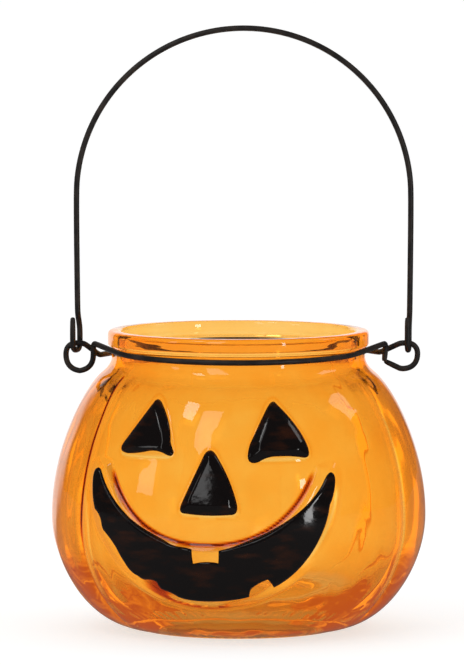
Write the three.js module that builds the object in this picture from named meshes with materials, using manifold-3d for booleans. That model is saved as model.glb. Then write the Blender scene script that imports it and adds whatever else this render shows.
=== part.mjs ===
// Pumpkin candle holder: a ribbed glass jar with a raised, black-enamelled
// jack-o'-lantern face, a wire round its neck and a wire bail to carry it by.
// Millimetres, +Z up. The origin is the middle of the foot, on the table.
// Azimuths are in degrees from the front (-Y), positive towards +X.

import * as THREE from "three";
import { mergeVertices } from "three/addons/utils/BufferGeometryUtils.js";
import Module from "manifold-3d";

const wasm = await Module();
wasm.setup();

// Jar: outside shape
const FOOT_R = 31;
const FOOT_BAND = 7;
const PUNT_RISE = 2.4;
const FOOT_ROUND = 0.8;
const BOWL_LOW_PULL = 16;
const BOWL_SIDE_PULL = 15;
const BODY_R = 58;
const BODY_Z = 35.6;
const SHOULDER_RISE = 44;
const SHOULDER_R = 42.2;
const SHOULDER_SLOPE = 40;
const SHOULDER_SIDE_PULL = 20;
const SHOULDER_TOP_PULL = 9;
const NECK_R = 39.2;
const NECK_H = 8.2;
const NECK_ROUND = 4;
const BEAD_H = 4.9;
const BEAD_OVERHANG = 1.2;
const BEAD_LOW_ROUND = 1;
const BEAD_TOP_ROUND = 1.4;

// Jar: inside shape
const WALL = 3.9;
const NECK_WALL = 3;
const LIP_ROUND = 1.1;
const FLOOR_T = 8;
const FLOOR_R = 26;

// Ribs: the sides and back have grooves, the front panel is smooth
const RIB_COUNT = 7;
const PANEL_ANGLE = 120;
const RIB_TURN = 2.7;
const GROOVE_DEPTH = 1;
const GROOVE_SPREAD = 3;
const GROOVE_FADE = 7;
const STEPS_PER_RIB = 6;
const PANEL_STEPS = 22;

// Face: raised glass, and the enamel coats that cover it
const FACE_TURN = -9.6;
const FACE_TOP_Z = 76;
const FACE_ROW_COUNT = 76;
const RELIEF_H = 1.4;
const RELIEF_EDGE = 0.8;
const ENAMEL_T = 0.8;
const OUTLINE_STEPS = 5;

// Wire round the neck: its loop, and the eye at each side
const WIRE_D = 1.8;
const WIRE_SIDES = 8;
const BEND_STEP = 24;
const LOOP_STEP = 6;
const SEAT_GAP = 0.3;
const NECK_SLACK = 0.6;
const FRONT_DROP = 0.9;
const BEND_R = 1.3;
const LEFT_STANDOFF = 8.4;
const RIGHT_STANDOFF = 10.7;
const EYE_RISE = 0.75;
const LEFT_EYE_R = 4.25;
const RIGHT_EYE_R = 4;
const EYE_CROWN_R = 2.9;
const LEFT_DIP = 3.95;
const RIGHT_DIP = 3.15;
const RIGHT_STEM_IN = 5.8;
const STEM_L = 5.7;
const STEM_LEAN = 0.5;

// Bail: its hooks, legs and arch
const HOOK_R = 2.8;
const HOOK_DEPTH = 2.15;
const HOOK_BEND_R = 2.1;
const LEFT_HOOK_TWIST = 22;
const RIGHT_HOOK_TWIST = 6;
const LEFT_HOOK_SHIFT = -1.05;
const RIGHT_HOOK_SHIFT = 1.1;
const TAIL_L = 8.2;
const LEG_H = 45.7;
const LEG_KNEE = 9.4;
const LEG_LEAN = 0.4;
const LEG_BEND_R = 6;
const ARCH_R = 51.75;
const ARCH_SHIFT = 1.6;
const ARCH_STEPS = 30;

// Heights and radii that follow from the sizes above
const SHOULDER_Z = BODY_Z + SHOULDER_RISE;
const BEAD_Z = SHOULDER_Z + NECK_H;
const RIM_Z = BEAD_Z + BEAD_H;
const RIM_R = NECK_R + BEAD_OVERHANG;
const MOUTH_R = NECK_R - NECK_WALL;
const WIRE_R = WIRE_D / 2;
const LOOP_R = NECK_R + WIRE_R + NECK_SLACK;
const LOOP_Z = BEAD_Z - WIRE_R - SEAT_GAP;
const EYE_TOP_Z = BEAD_Z + EYE_RISE;
const FACE_GRID = FACE_TOP_Z / FACE_ROW_COUNT;
const LEFT_EYE_X = -LOOP_R - LEFT_STANDOFF;
const RIGHT_EYE_X = LOOP_R + RIGHT_STANDOFF;

const rad = THREE.MathUtils.degToRad;
const v2 = (x, y) => new THREE.Vector2(x, y);
const v3 = (x, y, z) => new THREE.Vector3(x, y, z);

// Solids: a closed geometry becomes a solid for cuts and joins, and back
function solid(geometry) {
  const bare = geometry.clone();
  bare.deleteAttribute("normal");
  bare.deleteAttribute("uv");
  const merged = mergeVertices(bare, 1e-4);
  const index = merged.index.array;
  const triangles = [];
  for (let i = 0; i < index.length; i += 3) {
    const [a, b, c] = [index[i], index[i + 1], index[i + 2]];
    if (a !== b && b !== c && c !== a) triangles.push(a, b, c);
  }
  const mesh = new wasm.Mesh({
    numProp: 3,
    vertProperties: new Float32Array(merged.attributes.position.array),
    triVerts: new Uint32Array(triangles),
  });
  return new wasm.Manifold(mesh);
}

function geometryOf(manifold) {
  const mesh = manifold.getMesh();
  const geometry = new THREE.BufferGeometry();
  geometry.setAttribute("position", new THREE.BufferAttribute(mesh.vertProperties, 3));
  geometry.setIndex(new THREE.BufferAttribute(mesh.triVerts, 1));
  return geometry;
}

// Turned shapes stand on the floor with their axis upright
function turned(points, segments) {
  return new THREE.LatheGeometry(points, segments).rotateX(Math.PI / 2);
}

// Outside profile of the jar, from the middle of the foot to the top of the rim
function outsideProfile() {
  const path = new THREE.Path();
  const puntR = FOOT_R - FOOT_BAND;
  const slope = rad(SHOULDER_SLOPE);
  path.moveTo(0, PUNT_RISE);
  path.quadraticCurveTo(puntR / 2, PUNT_RISE, puntR, 0);
  path.lineTo(FOOT_R - FOOT_ROUND, 0);
  path.lineTo(FOOT_R, FOOT_ROUND / 2);
  path.bezierCurveTo(FOOT_R + BOWL_LOW_PULL, FOOT_ROUND / 2,
    BODY_R, BODY_Z - BOWL_SIDE_PULL, BODY_R, BODY_Z);
  path.bezierCurveTo(BODY_R, BODY_Z + SHOULDER_SIDE_PULL,
    SHOULDER_R + SHOULDER_TOP_PULL * Math.cos(slope),
    SHOULDER_Z - SHOULDER_TOP_PULL * Math.sin(slope), SHOULDER_R, SHOULDER_Z);
  path.quadraticCurveTo(NECK_R, SHOULDER_Z + (SHOULDER_R - NECK_R) * Math.tan(slope),
    NECK_R, SHOULDER_Z + NECK_ROUND);
  path.lineTo(NECK_R, BEAD_Z);
  path.lineTo(RIM_R - BEAD_LOW_ROUND, BEAD_Z);
  path.quadraticCurveTo(RIM_R, BEAD_Z, RIM_R, BEAD_Z + BEAD_LOW_ROUND);
  path.lineTo(RIM_R, RIM_Z - BEAD_TOP_ROUND);
  path.quadraticCurveTo(RIM_R, RIM_Z, RIM_R - BEAD_TOP_ROUND, RIM_Z);
  path.lineTo(0, RIM_Z);
  return sampled(path, { QuadraticBezierCurve: 3, CubicBezierCurve: 8, LineCurve: 1 });
}

// Inside profile: flat floor, bowl, shoulder, bore of the neck and rounded lip
function insideProfile() {
  const path = new THREE.Path();
  const slope = rad(SHOULDER_SLOPE);
  const bowlR = BODY_R - WALL;
  const shoulderR = SHOULDER_R - WALL * Math.sin(slope);
  const shoulderZ = SHOULDER_Z - WALL * Math.cos(slope);
  path.moveTo(0, FLOOR_T);
  path.lineTo(FLOOR_R, FLOOR_T);
  path.bezierCurveTo(FLOOR_R + BOWL_LOW_PULL, FLOOR_T,
    bowlR, BODY_Z - BOWL_SIDE_PULL, bowlR, BODY_Z);
  path.bezierCurveTo(bowlR, BODY_Z + SHOULDER_SIDE_PULL,
    shoulderR + SHOULDER_TOP_PULL * Math.cos(slope),
    shoulderZ - SHOULDER_TOP_PULL * Math.sin(slope), shoulderR, shoulderZ);
  path.quadraticCurveTo(MOUTH_R, shoulderZ + (shoulderR - MOUTH_R) * Math.tan(slope),
    MOUTH_R, SHOULDER_Z + NECK_ROUND / 2);
  path.lineTo(MOUTH_R, RIM_Z - LIP_ROUND);
  path.quadraticCurveTo(MOUTH_R, RIM_Z, MOUTH_R + LIP_ROUND, RIM_Z);
  path.lineTo(MOUTH_R + LIP_ROUND, RIM_Z + LIP_ROUND);
  path.lineTo(0, RIM_Z + LIP_ROUND);
  return sampled(path, { QuadraticBezierCurve: 3, CubicBezierCurve: 6, LineCurve: 1 });
}

// Points along a profile, with few on its small rounds and more on its long curves
function sampled(path, divisions) {
  const points = [path.curves[0].getPoint(0)];
  for (const curve of path.curves) points.push(...curve.getPoints(divisions[curve.type]).slice(1));
  return points;
}

// A column of the jar's skin: the panel's columns come first, then the ribs'
const RIB_ANGLE = (360 - PANEL_ANGLE) / RIB_COUNT;
const COLUMNS = PANEL_STEPS + RIB_COUNT * STEPS_PER_RIB;

function columnAzimuth(column) {
  const panelEdge = RIB_TURN + PANEL_ANGLE / 2;
  if (column <= PANEL_STEPS) return panelEdge - PANEL_ANGLE * (1 - column / PANEL_STEPS);
  return panelEdge + (column - PANEL_STEPS) * RIB_ANGLE / STEPS_PER_RIB;
}

// How far a groove draws the skin in at a column and a height
function grooveDepth(column, z) {
  const angle = columnAzimuth(column) - RIB_TURN;
  let away = 360;
  for (let rib = 0; rib <= RIB_COUNT; rib += 1) {
    const gap = Math.abs(angle - PANEL_ANGLE / 2 - rib * RIB_ANGLE) % 360;
    away = Math.min(away, gap, 360 - gap);
  }
  const low = THREE.MathUtils.smoothstep(z, FOOT_ROUND, FOOT_ROUND + GROOVE_FADE);
  const high = 1 - THREE.MathUtils.smoothstep(z, SHOULDER_Z - GROOVE_FADE, SHOULDER_Z);
  return GROOVE_DEPTH * Math.exp(-away / GROOVE_SPREAD) * low * high;
}

// The jar's outside as a full solid, grown outwards for what lies on its skin
function ribbedBody(grow) {
  const profile = outsideProfile();
  const geometry = turned(profile, COLUMNS);
  const position = geometry.attributes.position;
  for (let i = 0; i < position.count; i += 1) {
    const column = Math.floor(i / profile.length);
    const { x: radius, y: z } = profile[i % profile.length];
    if (radius === 0) continue;
    const azimuth = rad(columnAzimuth(column % COLUMNS));
    const r = radius + grow - grooveDepth(column % COLUMNS, z);
    position.setXYZ(i, r * Math.sin(azimuth), -r * Math.cos(azimuth), z);
  }
  return solid(geometry);
}

// Outlines of the face, square on to it, on a grid of FACE_GRID squares, with
// FACE_ROW_COUNT of them from the table to the top of the left eye: the
// first number runs across the face, the second up from the table
function leftEyeOutline() {
  const shape = new THREE.Shape();
  shape.moveTo(-18.4, 73.6);
  shape.quadraticCurveTo(-17.1, 75.8, -15.6, 73.4);
  shape.quadraticCurveTo(-12.2, 67.5, -12, 62.5);
  shape.quadraticCurveTo(-11.6, 61, -10.9, 59.4);
  shape.quadraticCurveTo(-11.2, 57.6, -13, 58.6);
  shape.quadraticCurveTo(-15.6, 60.2, -19, 59.4);
  shape.quadraticCurveTo(-22, 58.6, -25.6, 58.4);
  shape.quadraticCurveTo(-29, 59, -27.5, 61.4);
  return shape;
}

function rightEyeOutline() {
  const shape = new THREE.Shape();
  shape.moveTo(16.3, 72.8);
  shape.quadraticCurveTo(17.5, 75.6, 19, 73.6);
  shape.quadraticCurveTo(26.2, 67.2, 28.7, 61);
  shape.quadraticCurveTo(30, 57.4, 27.6, 57.8);
  shape.quadraticCurveTo(24, 58.6, 20.6, 58.4);
  shape.quadraticCurveTo(17.6, 58.6, 15.2, 56.8);
  shape.quadraticCurveTo(12, 55.6, 11.7, 58.6);
  shape.quadraticCurveTo(11.8, 61.6, 12.8, 63.6);
  return shape;
}

function noseOutline() {
  const shape = new THREE.Shape();
  shape.moveTo(-1.3, 59);
  shape.quadraticCurveTo(0.3, 61.4, 2.1, 59.2);
  shape.quadraticCurveTo(7.4, 51.5, 9.2, 43.8);
  shape.quadraticCurveTo(9.6, 40.9, 7, 41);
  shape.quadraticCurveTo(0.3, 40.4, -6.2, 41.2);
  shape.quadraticCurveTo(-9, 41.1, -7.9, 44);
  return shape;
}

function mouthOutline() {
  const shape = new THREE.Shape();
  shape.moveTo(-4.2, 30.2);
  shape.bezierCurveTo(-14.5, 32.6, -29, 38.6, -34.8, 53.2);
  shape.quadraticCurveTo(-36.4, 53, -36.5, 48);
  shape.bezierCurveTo(-35.4, 38.5, -26, 25.5, -19.6, 20.9);
  shape.lineTo(-15, 19.6);
  shape.lineTo(-13.3, 17.2);
  shape.bezierCurveTo(-9, 14.2, 5, 13.9, 11.8, 15.7);
  shape.lineTo(13, 18.7);
  shape.lineTo(17.3, 20.6);
  shape.lineTo(19.2, 18.4);
  shape.bezierCurveTo(28, 23.5, 36.2, 36, 36.3, 49);
  shape.quadraticCurveTo(36.3, 53.4, 34.7, 53.2);
  shape.bezierCurveTo(29, 39.5, 14.5, 32.6, 3.8, 30.2);
  shape.lineTo(3.6, 26.2);
  shape.lineTo(-4.3, 26.2);
  return shape;
}

// The glass under the mouth is a plain crescent: its teeth are left bare
function mouthReliefOutline() {
  const shape = new THREE.Shape();
  shape.moveTo(0, 12.3);
  shape.bezierCurveTo(18, 12.3, 36.9, 28, 37, 50);
  shape.quadraticCurveTo(36.8, 55.8, 31.6, 55.4);
  shape.bezierCurveTo(27.5, 38.6, 15, 31.2, 0, 31.4);
  shape.bezierCurveTo(-15, 31.2, -27.5, 38.6, -31.6, 55.4);
  shape.quadraticCurveTo(-36.8, 55.8, -37, 50);
  shape.bezierCurveTo(-36.9, 28, -18, 12.3, 0, 12.3);
  return shape;
}

// The same outline, a constant step further out
function grown(shape, step) {
  const points = shape.getPoints(OUTLINE_STEPS);
  const first = points[0];
  if (first.distanceTo(points[points.length - 1]) < 0.01) points.pop();
  const turn = THREE.ShapeUtils.isClockWise(points) ? -1 : 1;
  const moved = points.map((point, i) => {
    const before = points[(i + points.length - 1) % points.length];
    const after = points[(i + 1) % points.length];
    const along = after.clone().sub(before).normalize();
    return v2(point.x + turn * along.y * step, point.y - turn * along.x * step);
  });
  return new THREE.Shape(moved);
}

// A straight cutter with a face outline, from the jar's middle out through its front
function facePrism(shape) {
  const prism = new THREE.ExtrudeGeometry(shape, {
    depth: 2 * BODY_R, bevelEnabled: false, curveSegments: OUTLINE_STEPS,
  });
  prism.scale(FACE_GRID, FACE_GRID, 1).rotateX(Math.PI / 2).rotateZ(rad(FACE_TURN));
  return solid(prism);
}

// Raised glass of the face: a margin wider than the enamel, except at the mouth
function reliefs() {
  const raised = ribbedBody(RELIEF_H);
  const shapes = [leftEyeOutline(), rightEyeOutline(), noseOutline()];
  const outlines = shapes.map((shape) => grown(shape, RELIEF_EDGE / FACE_GRID));
  outlines.push(mouthReliefOutline());
  return outlines.map((outline) => facePrism(outline).intersect(raised));
}

// Jar: ribbed outside, raised face and the hollow inside
function glassJar() {
  let jar = ribbedBody(0);
  for (const relief of reliefs()) jar = jar.add(relief);
  return geometryOf(jar.subtract(solid(turned(insideProfile(), COLUMNS))));
}

// A coat of enamel over the relief, as thick as the hand-brushed coat is proud
function enamel(shape) {
  const seat = ribbedBody(RELIEF_H + SEAT_GAP);
  const skin = ribbedBody(RELIEF_H + SEAT_GAP + ENAMEL_T);
  return geometryOf(facePrism(shape).intersect(skin).subtract(seat));
}

// A wire's centre line, given as stations: close in the bends, far on the straights
class WireLine extends THREE.Curve {
  constructor(stations) {
    super();
    this.stations = stations;
  }

  getPointAt(u, target = new THREE.Vector3()) {
    return target.copy(this.stations[Math.round(u * (this.stations.length - 1))]);
  }

  getTangentAt(u, target = new THREE.Vector3()) {
    const i = Math.round(u * (this.stations.length - 1));
    const here = this.stations[i];
    const before = this.stations[Math.max(i - 1, 0)];
    const after = this.stations[Math.min(i + 1, this.stations.length - 1)];
    const arriving = here.clone().sub(before).normalize();
    const leaving = after.clone().sub(here).normalize();
    return target.copy(arriving).add(leaving).normalize();
  }
}

// Round wire along its stations, closed at both ends
function wire(stations) {
  const section = new THREE.Shape();
  for (let side = 0; side < WIRE_SIDES; side += 1) {
    const angle = (side + 0.5) * 2 * Math.PI / WIRE_SIDES;
    const [x, y] = [WIRE_R * Math.cos(angle), WIRE_R * Math.sin(angle)];
    if (side === 0) section.moveTo(x, y);
    else section.lineTo(x, y);
  }
  const line = new WireLine(stations);
  return new THREE.ExtrudeGeometry(section, { steps: stations.length - 1, extrudePath: line });
}

// Bent wire: straight runs between corners, each corner with its bend radius
function bent(corners) {
  const stations = [corners[0].at.clone()];
  for (let i = 1; i < corners.length - 1; i += 1) {
    const { at, r } = corners[i];
    const back = corners[i - 1].at.clone().sub(at).normalize();
    const ahead = corners[i + 1].at.clone().sub(at).normalize();
    const half = back.angleTo(ahead) / 2;
    const setback = r / Math.tan(half);
    const centre = back.clone().add(ahead).normalize().multiplyScalar(r / Math.sin(half)).add(at);
    const start = back.multiplyScalar(setback).add(at).sub(centre);
    const end = ahead.multiplyScalar(setback).add(at).sub(centre);
    const axis = start.clone().cross(end).normalize();
    const sweep = start.angleTo(end);
    const steps = Math.max(1, Math.ceil(sweep / rad(BEND_STEP)));
    for (let k = 0; k <= steps; k += 1) {
      stations.push(start.clone().applyAxisAngle(axis, sweep * k / steps).add(centre));
    }
  }
  stations.push(corners[corners.length - 1].at.clone());
  return stations;
}

// A point of the neck loop, and the azimuth where the wire leaves it for a point
function onNeck(azimuth, z) {
  return v3(LOOP_R * Math.sin(rad(azimuth)), -LOOP_R * Math.cos(rad(azimuth)), z);
}

function leavingAngle(point) {
  const reach = Math.acos(LOOP_R / Math.hypot(point.x, point.y));
  return THREE.MathUtils.radToDeg(Math.atan2(Math.abs(point.x), -point.y) - reach);
}

// Stations of the neck loop between two azimuths, both ends left out
function neckArc(from, to, height) {
  const steps = Math.ceil(Math.abs(to - from) / LOOP_STEP);
  const points = [];
  for (let k = 1; k < steps; k += 1) {
    const azimuth = from + (to - from) * k / steps;
    points.push(onNeck(azimuth, height(azimuth)));
  }
  return points;
}

// Neck wire: one length of wire. Its front run ends in a stem at each side. The
// left stem turns on into a full eye, and the right one is cut off short. The
// back run passes behind both stems, and ends in the eye tucked behind the right one.
function neckWire() {
  const stemY = -WIRE_R - SEAT_GAP;
  const behindY = stemY + WIRE_D + SEAT_GAP;
  const stemTop = EYE_TOP_Z + BEND_R / 12;
  const leftStemX = LEFT_EYE_X + LEFT_EYE_R;
  const rightStemX = RIGHT_EYE_X - RIGHT_STEM_IN;
  const leftLow = EYE_TOP_Z - 2 * LEFT_EYE_R;
  const rightLow = EYE_TOP_Z - 2 * RIGHT_EYE_R;
  const leftArmZ = EYE_TOP_Z - LEFT_DIP;
  const rightArmZ = EYE_TOP_Z - RIGHT_DIP;
  const rightEnd = v3(rightStemX - STEM_LEAN, stemY, stemTop - STEM_L);

  const leftBend = v3(leftStemX, stemY, stemTop);
  const rightBend = v3(rightStemX, stemY, stemTop);
  const leftArm = v3(leftStemX + WIRE_D, behindY + WIRE_D, leftArmZ);
  const rightArm = v3(rightStemX - WIRE_D, behindY + WIRE_D, rightArmZ);
  const leftFront = leavingAngle(leftBend);
  const rightFront = leavingAngle(rightBend);
  const leftBack = 180 - leavingAngle(v3(leftArm.x, -leftArm.y, 0));
  const rightBack = 180 - leavingAngle(v3(rightArm.x, -rightArm.y, 0));

  const rise = (azimuth, reach) => Math.min(1, (azimuth / reach) ** 2);
  const frontZ = (azimuth) => LOOP_Z - FRONT_DROP * (1 - rise(azimuth, leftFront));
  const backZ = (azimuth) => {
    const armZ = azimuth > 180 ? leftArmZ : rightArmZ;
    const reach = 180 - (azimuth > 180 ? leftBack : rightBack);
    return LOOP_Z - (LOOP_Z - armZ) * rise(azimuth - 180, reach);
  };

  return wire([
    ...bent([
      { at: rightEnd },
      { at: rightBend, r: BEND_R },
      { at: onNeck(rightFront, frontZ(rightFront)) },
    ]),
    ...neckArc(rightFront, -leftFront, frontZ),
    ...bent([
      { at: onNeck(-leftFront, frontZ(leftFront)) },
      { at: leftBend, r: BEND_R },
      { at: v3(leftStemX, stemY, leftLow), r: LEFT_EYE_R },
      { at: v3(LEFT_EYE_X - LEFT_EYE_R, stemY / 2, leftLow), r: LEFT_EYE_R },
      { at: v3(LEFT_EYE_X - LEFT_EYE_R, 0, EYE_TOP_Z), r: EYE_CROWN_R },
      { at: v3(LEFT_EYE_X + BEND_R, 0, EYE_TOP_Z), r: 2 * BEND_R },
      { at: leftArm, r: 2 * BEND_R },
      { at: onNeck(-leftBack, leftArmZ) },
    ]),
    ...neckArc(360 - leftBack, rightBack, backZ),
    ...bent([
      { at: onNeck(rightBack, rightArmZ) },
      { at: rightArm, r: 2 * BEND_R },
      { at: v3(RIGHT_EYE_X - BEND_R, 0, EYE_TOP_Z), r: 2 * BEND_R },
      { at: v3(RIGHT_EYE_X + RIGHT_EYE_R, 0, EYE_TOP_Z), r: EYE_CROWN_R },
      { at: v3(RIGHT_EYE_X + RIGHT_EYE_R, behindY / 4, rightLow), r: RIGHT_EYE_R },
      { at: v3(RIGHT_EYE_X - BEND_R, behindY / 2, rightLow), r: 2 * BEND_R },
      { at: rightEnd.clone().add(v3(0, behindY - stemY, 0)) },
    ]),
  ]);
}

// Bail: an arch of wire whose two ends are hooked through the eyes from below
function hook(x, twist, kneeX) {
  const across = v3(Math.sin(rad(twist)), Math.cos(rad(twist)), 0).multiplyScalar(HOOK_R);
  const axis = v3(x, 0, EYE_TOP_Z);
  const place = (share, z) => axis.clone().addScaledVector(across, share).add(v3(0, 0, z));
  return [
    { at: place(-1, TAIL_L) },
    { at: place(-1, -HOOK_DEPTH), r: HOOK_BEND_R },
    { at: place(1, -HOOK_DEPTH), r: HOOK_BEND_R },
    { at: place(1, LEG_KNEE / 2), r: LEG_BEND_R },
    { at: v3(kneeX, 0, EYE_TOP_Z + LEG_KNEE), r: LEG_BEND_R },
  ];
}

function bailHandle() {
  const springing = EYE_TOP_Z + LEG_H;
  const arch = [];
  for (let k = 0; k <= ARCH_STEPS; k += 1) {
    const angle = Math.PI * (1 - k / ARCH_STEPS);
    arch.push(v3(ARCH_SHIFT + ARCH_R * Math.cos(angle), 0, springing + ARCH_R * Math.sin(angle)));
  }
  const [archStart, archEnd] = [arch[0], arch[ARCH_STEPS]];
  const leftX = LEFT_EYE_X + LEFT_HOOK_SHIFT;
  const rightX = RIGHT_EYE_X + RIGHT_HOOK_SHIFT;
  const left = hook(leftX, LEFT_HOOK_TWIST, archStart.x + LEG_LEAN);
  const right = hook(rightX, RIGHT_HOOK_TWIST, archEnd.x - LEG_LEAN).reverse();
  const leftLeg = bent([...left, { at: archStart }]).slice(0, -1);
  const rightLeg = bent([{ at: archEnd }, ...right]).slice(1);
  return wire([...leftLeg, ...arch, ...rightLeg]);
}

const glass = new THREE.MeshStandardMaterial({
  color: 0xf39a35, roughness: 0.05, metalness: 0, transparent: true, opacity: 0.5,
});
const blackEnamel = new THREE.MeshStandardMaterial({ color: 0x140e0c, roughness: 0.12, metalness: 0 });
const blackWire = new THREE.MeshStandardMaterial({ color: 0x2e2826, roughness: 0.45, metalness: 0.3 });

const holder = new THREE.Group();

function piece(name, geometry, material) {
  const mesh = new THREE.Mesh(geometry, material);
  mesh.name = name;
  holder.add(mesh);
}

piece("glass_jar", glassJar(), glass);
piece("left_eye", enamel(leftEyeOutline()), blackEnamel);
piece("right_eye", enamel(rightEyeOutline()), blackEnamel);
piece("nose", enamel(noseOutline()), blackEnamel);
piece("mouth", enamel(mouthOutline()), blackEnamel);
piece("neck_wire", neckWire(), blackWire);
piece("bail_handle", bailHandle(), blackWire);

export default holder;
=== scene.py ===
import math
import bpy
import numpy as np
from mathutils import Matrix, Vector
from mathutils.geometry import delaunay_2d_cdt


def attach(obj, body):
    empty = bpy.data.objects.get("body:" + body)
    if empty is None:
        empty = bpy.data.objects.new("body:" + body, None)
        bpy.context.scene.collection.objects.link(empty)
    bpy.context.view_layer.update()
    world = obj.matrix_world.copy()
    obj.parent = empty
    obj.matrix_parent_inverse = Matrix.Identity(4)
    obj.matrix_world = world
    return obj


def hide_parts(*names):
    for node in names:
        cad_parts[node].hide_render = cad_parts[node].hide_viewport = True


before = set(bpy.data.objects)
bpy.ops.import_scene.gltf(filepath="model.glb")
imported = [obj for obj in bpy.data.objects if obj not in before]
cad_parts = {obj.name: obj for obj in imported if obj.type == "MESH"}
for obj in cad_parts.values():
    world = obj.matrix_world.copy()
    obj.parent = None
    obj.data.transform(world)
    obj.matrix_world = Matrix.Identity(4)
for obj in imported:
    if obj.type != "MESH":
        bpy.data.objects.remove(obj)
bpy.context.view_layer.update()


# Studio: a white table top that runs on into a white background, seen at the
# photograph's angle from 2.3 m away through a long lens. Five soft lamps stand
# in front and at the sides, and the room behind them is dim.
MM = 0.001
FILL = 0.75
ROOM = 0.06
BACKDROP_AXIS = (-0.174, 0.985, 0)
BACKDROP_EDGE = (0.866, 0.945)
LAMP_AIM_Z = 60 * MM
FLOOR_SIZE = 40
FLOOR_Z = -0.2 * MM
FLOOR_COLOUR = (0.55, 0.55, 0.55, 1)
FLOOR_GLOW = 0.61
FLOOR_DIM = 0.15
# Inner and outer radius of the painted shadow of the jar on the table top, seen in reflections.
FLOOR_SHADOW_R = (70 * MM, 100 * MM)
BLACK = (0, 0, 0, 1)
WHITE = (1, 1, 1, 1)
CAMERA_PLACE = (-0.002, -2.3, 0.2728)
CAMERA_TILT = 85.5
CAMERA_LENS = 403.8
CAMERA_SENSOR = 36

camera_data = bpy.data.cameras.new("camera")
camera_data.sensor_width = CAMERA_SENSOR
camera_data.lens = CAMERA_LENS
camera = bpy.data.objects.new("camera", camera_data)
camera.location = CAMERA_PLACE
camera.rotation_euler = (math.radians(CAMERA_TILT), 0, 0)
bpy.context.collection.objects.link(camera)
bpy.context.scene.camera = camera
bpy.context.scene.view_settings.view_transform = "Standard"


def soft_lamp(name, azimuth, elevation, distance, width, tall, brightness):
    """A rectangular lamp aimed at the object, in degrees and metres; the front is 0 degrees."""
    data = bpy.data.lights.new(name, "AREA")
    data.shape = "RECTANGLE"
    data.size = width
    data.size_y = tall
    data.energy = brightness * math.pi * width * tall
    lamp = bpy.data.objects.new(name, data)
    turn = math.radians(azimuth)
    rise = math.radians(elevation)
    reach = distance * math.cos(rise)
    height = LAMP_AIM_Z + distance * math.sin(rise)
    lamp.location = (reach * math.sin(turn), -reach * math.cos(turn), height)
    lamp.rotation_euler = (math.pi / 2 - rise, 0, turn)
    lamp.visible_camera = False
    bpy.context.collection.objects.link(lamp)


soft_lamp(
    "tall_strip", azimuth=-22.5, elevation=34, distance=1.2, width=0.19, tall=0.9,
    brightness=2.1)
soft_lamp(
    "left_strip", azimuth=-61, elevation=18, distance=1.3, width=0.17, tall=0.45,
    brightness=1.9)
soft_lamp(
    "high_left_box", azimuth=-45, elevation=52, distance=1.2, width=0.17, tall=0.24,
    brightness=5)
soft_lamp(
    "right_box", azimuth=41, elevation=7.5, distance=1.3, width=0.12, tall=0.42,
    brightness=9)
soft_lamp(
    "high_right_box", azimuth=98, elevation=38, distance=1.2, width=0.2, tall=0.28,
    brightness=1.9)


def feed(tree, sockets, values):
    """Sets input sockets, or joins them where the value is itself a socket."""
    for socket, value in zip(sockets, values):
        if isinstance(value, bpy.types.NodeSocket):
            tree.links.new(value, socket)
        else:
            socket.default_value = value


def calculate(tree, operation, *values, clamp=False):
    """What a sum makes of numbers and sockets."""
    node = tree.nodes.new("ShaderNodeMath")
    node.operation = operation
    node.use_clamp = clamp
    feed(tree, node.inputs, values)
    return node.outputs[0]


def calculate_vector(tree, operation, *values):
    """What a sum makes of vectors: a vector, or a number for a length or a dot product."""
    node = tree.nodes.new("ShaderNodeVectorMath")
    node.operation = operation
    feed(tree, node.inputs, values)
    return node.outputs["Value" if operation in ("LENGTH", "DOT_PRODUCT") else "Vector"]


def carry_over(tree, value, low=0, high=1, to_low=0, to_high=1, soft=False):
    """A value between low and high carried over to the range between to_low and to_high."""
    node = tree.nodes.new("ShaderNodeMapRange")
    node.interpolation_type = "SMOOTHSTEP" if soft else "LINEAR"
    feed(tree, node.inputs, (value, low, high, to_low, to_high))
    return node.outputs[0]


def blend(tree, share, first, second, kind="MIX"):
    """The first colour with a share of the second mixed in or multiplied on."""
    node = tree.nodes.new("ShaderNodeMix")
    node.data_type = "RGBA"
    node.blend_type = kind
    feed(tree, (node.inputs["Factor"], node.inputs[6], node.inputs[7]), (share, first, second))
    return node.outputs[2]


def new_material(name):
    """A material, its node tree and its Principled shader."""
    material = bpy.data.materials.new(name)
    material.use_nodes = True
    return material, material.node_tree, material.node_tree.nodes["Principled BSDF"]


# The room is white where the camera or light through the glass sees it, grey where it
# lights matt things, and dim in reflections but for the backdrop behind the object.
world = bpy.data.worlds.new("studio")
bpy.context.scene.world = world
world.use_nodes = True
tree = world.node_tree
tree.nodes.clear()
path = tree.nodes.new("ShaderNodeLightPath").outputs
direction = tree.nodes.new("ShaderNodeTexCoord").outputs["Generated"]
towards = calculate_vector(tree, "DOT_PRODUCT", direction, BACKDROP_AXIS)
backdrop = carry_over(tree, towards, *BACKDROP_EDGE, to_low=ROOM, soft=True)
mirrored = carry_over(tree, path["Is Glossy Ray"], to_low=FILL, to_high=backdrop)
seen = calculate(tree, "MAXIMUM", path["Is Camera Ray"], path["Is Transmission Ray"])
paper = tree.nodes.new("ShaderNodeBackground")
paper.inputs["Color"].default_value = WHITE
tree.links.new(carry_over(tree, seen, to_low=mirrored), paper.inputs["Strength"])
surface = tree.nodes.new("ShaderNodeOutputWorld")
tree.links.new(paper.outputs[0], surface.inputs["Surface"])
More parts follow.
